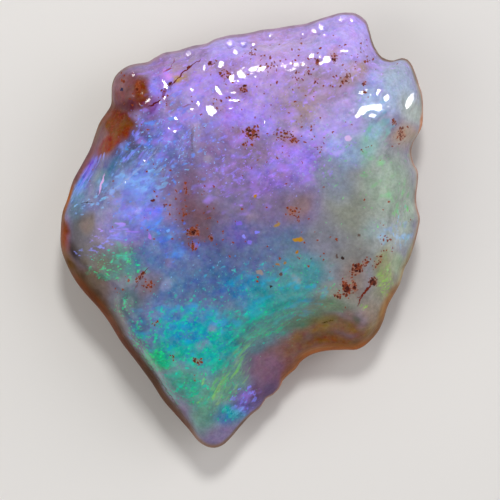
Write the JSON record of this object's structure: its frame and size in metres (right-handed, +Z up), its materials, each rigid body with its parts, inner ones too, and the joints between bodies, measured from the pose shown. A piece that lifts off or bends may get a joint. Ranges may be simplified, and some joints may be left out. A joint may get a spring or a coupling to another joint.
{
  "type": "rough precious opal",
  "caption": "Rough, pointed slab of precious opal with a nearly flat glossy face, a steep break on one side and a round scoop on the other, lying on its flat back.",
  "frame": {"origin": "under the middle of the stone, on the surface it rests on", "axes": "+Z up out of the face, +Y from the pointed tip to the broad end, +X to the right of the face"},
  "size_m": [0.0258, 0.031, 0.0083],
  "materials": {
    "opal": "glossy, translucent"
  },
  "bodies": {
    "root": {"opal": "opal"}
  },
  "joints": []
}
